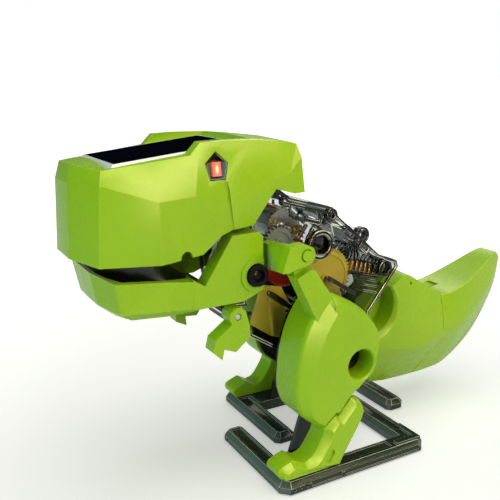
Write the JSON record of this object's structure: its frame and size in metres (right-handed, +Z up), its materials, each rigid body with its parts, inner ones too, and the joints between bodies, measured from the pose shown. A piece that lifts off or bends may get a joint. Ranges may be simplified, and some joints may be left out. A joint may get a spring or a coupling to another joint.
{
  "type": "solar robot kit",
  "caption": "Solar-powered walking dinosaur kit: geared walker in a clear gearbox, lime-green head, jaw, arms and tail, egg-shaped legs on U-shaped clear feet, solar panel on the head.",
  "frame": {"origin": "on the ground, at the middle of the toy's length and width, almost straight below the crank shaft", "axes": "+Z up, the toy faces -Y and its left side is +X"},
  "size_m": [0.079, 0.2062, 0.1249],
  "materials": {
    "lime_plastic": "satin moulded lime-green plastic",
    "smoky_clear": "polished smoke-tinted clear plastic",
    "black_plastic": "smooth black plastic",
    "grey_nylon": "pale grey gear plastic",
    "yellow_nylon": "yellow gear plastic",
    "red_nylon": "dark red gear plastic",
    "steel": "plain bright steel",
    "brass": "turned brass",
    "panel_edge": "clear resin edge of the solar panel",
    "solar_cell": "dark navy cell under clear resin",
    "eye_lens": "faceted grey-blue lens",
    "lamp_window": "orange-red lamp window",
    "red_wire": "red wire insulation"
  },
  "bodies": {
    "body": {"gearbox_left": "smoky_clear", "gearbox_right": "smoky_clear", "gearbox_screw_1": "steel", "gearbox_screw_2": "steel", "gearbox_screw_3": "steel", "gearbox_screw_4": "steel", "motor_can": "steel", "motor_end_cap": "black_plastic", "idler_axle": "steel", "yellow_axle": "steel", "red_axle": "steel", "grey_axle": "steel", "shoulder_pin": "steel", "head_shell": "lime_plastic", "palate": "black_plastic", "panel_frame": "panel_edge", "solar_cell": "solar_cell", "eye_lens_left": "eye_lens", "eye_lens_right": "eye_lens", "eye_led_left": "lamp_window", "eye_led_right": "lamp_window", "wire_red": "red_wire", "wire_black": "black_plastic", "jaw_pin_left": "black_plastic", "jaw_pin_right": "black_plastic", "tail_base": "lime_plastic", "tail_tip": "lime_plastic"},
    "jaw": {"jaw": "lime_plastic"},
    "arm_left": {"arm_left": "lime_plastic"},
    "arm_right": {"arm_right": "lime_plastic"},
    "drive": {"crank_shaft": "steel", "output_gear": "grey_nylon", "crank_left": "black_plastic", "crank_right": "black_plastic", "crank_cap_left": "black_plastic", "crank_cap_right": "black_plastic"},
    "leg_left": {"thigh_left": "lime_plastic", "shin_left": "lime_plastic", "leg_plate_left": "smoky_clear", "foot_left": "smoky_clear", "rocker_pin_left": "lime_plastic"},
    "leg_right": {"thigh_right": "lime_plastic", "shin_right": "lime_plastic", "leg_plate_right": "smoky_clear", "foot_right": "smoky_clear", "rocker_pin_right": "lime_plastic"},
    "rocker_left": {"rocker_left": "lime_plastic"},
    "rocker_right": {"rocker_right": "lime_plastic"},
    "motor_drive": {"motor_pinion": "brass"},
    "grey_drive": {"grey_gear": "grey_nylon"},
    "red_drive": {"red_gear": "red_nylon"},
    "yellow_drive": {"yellow_gear": "yellow_nylon"},
    "idler_drive": {"idler_gear": "grey_nylon"}
  },
  "joints": [
    {"name": "crank_turn", "type": "hinge", "parent": "body", "child": "drive", "pos_m": [0, 0.0006, 0.043], "axis": [1, 0, 0], "continuous": true},
    {"name": "leg_left_turn", "type": "hinge", "parent": "drive", "child": "leg_left", "pos_m": [0.0222, -0.0076, 0.043], "axis": [1, 0, 0], "continuous": true},
    {"name": "leg_right_turn", "type": "hinge", "parent": "drive", "child": "leg_right", "pos_m": [-0.0222, 0.0088, 0.043], "axis": [1, 0, 0], "continuous": true},
    {"name": "idler_turn", "type": "hinge", "parent": "body", "child": "idler_drive", "pos_m": [0.004, -0.0076, 0.05483], "axis": [1, 0, 0], "continuous": true},
    {"name": "yellow_turn", "type": "hinge", "parent": "body", "child": "yellow_drive", "pos_m": [0.01, -0.00616, 0.06876], "axis": [1, 0, 0], "continuous": true},
    {"name": "red_turn", "type": "hinge", "parent": "body", "child": "red_drive", "pos_m": [0.008, -0.019, 0.0755], "axis": [1, 0, 0], "continuous": true},
    {"name": "grey_turn", "type": "hinge", "parent": "body", "child": "grey_drive", "pos_m": [0.01, -0.0272, 0.08493], "axis": [1, 0, 0], "continuous": true},
    {"name": "motor_turn", "type": "hinge", "parent": "body", "child": "motor_drive", "pos_m": [0.011, -0.01886, 0.0883], "axis": [1, 0, 0], "continuous": true},
    {"name": "rocker_left_swing", "type": "hinge", "parent": "leg_left", "child": "rocker_left", "pos_m": [0.033, -0.0321, 0.0869], "axis": [1, 0, 0], "range_deg": [-6, 6]},
    {"name": "rocker_right_swing", "type": "hinge", "parent": "leg_right", "child": "rocker_right", "pos_m": [-0.033, -0.0157, 0.0869], "axis": [1, 0, 0], "range_deg": [-6, 6]},
    {"name": "jaw_open", "type": "hinge", "parent": "body", "child": "jaw", "pos_m": [0, -0.0435, 0.0785], "axis": [1, 0, 0], "range_deg": [-3, 10]},
    {"name": "arm_left_swing", "type": "hinge", "parent": "body", "child": "arm_left", "pos_m": [0.02, -0.0504, 0.0642], "axis": [1, 0, 0], "range_deg": [-25, 25]},
    {"name": "arm_right_swing", "type": "hinge", "parent": "body", "child": "arm_right", "pos_m": [-0.02, -0.0504, 0.0642], "axis": [1, 0, 0], "range_deg": [-25, 25]}
  ],
  "couplings": [
    {"joint": "leg_left_turn", "follows": "crank_turn", "ratio": -1},
    {"joint": "leg_right_turn", "follows": "crank_turn", "ratio": -1},
    {"joint": "idler_turn", "follows": "crank_turn", "ratio": -2.6},
    {"joint": "yellow_turn", "follows": "crank_turn", "ratio": 6.5},
    {"joint": "red_turn", "follows": "crank_turn", "ratio": -24.917},
    {"joint": "grey_turn", "follows": "crank_turn", "ratio": 99.667},
    {"joint": "motor_turn", "follows": "crank_turn", "ratio": -259.13}
  ]
}
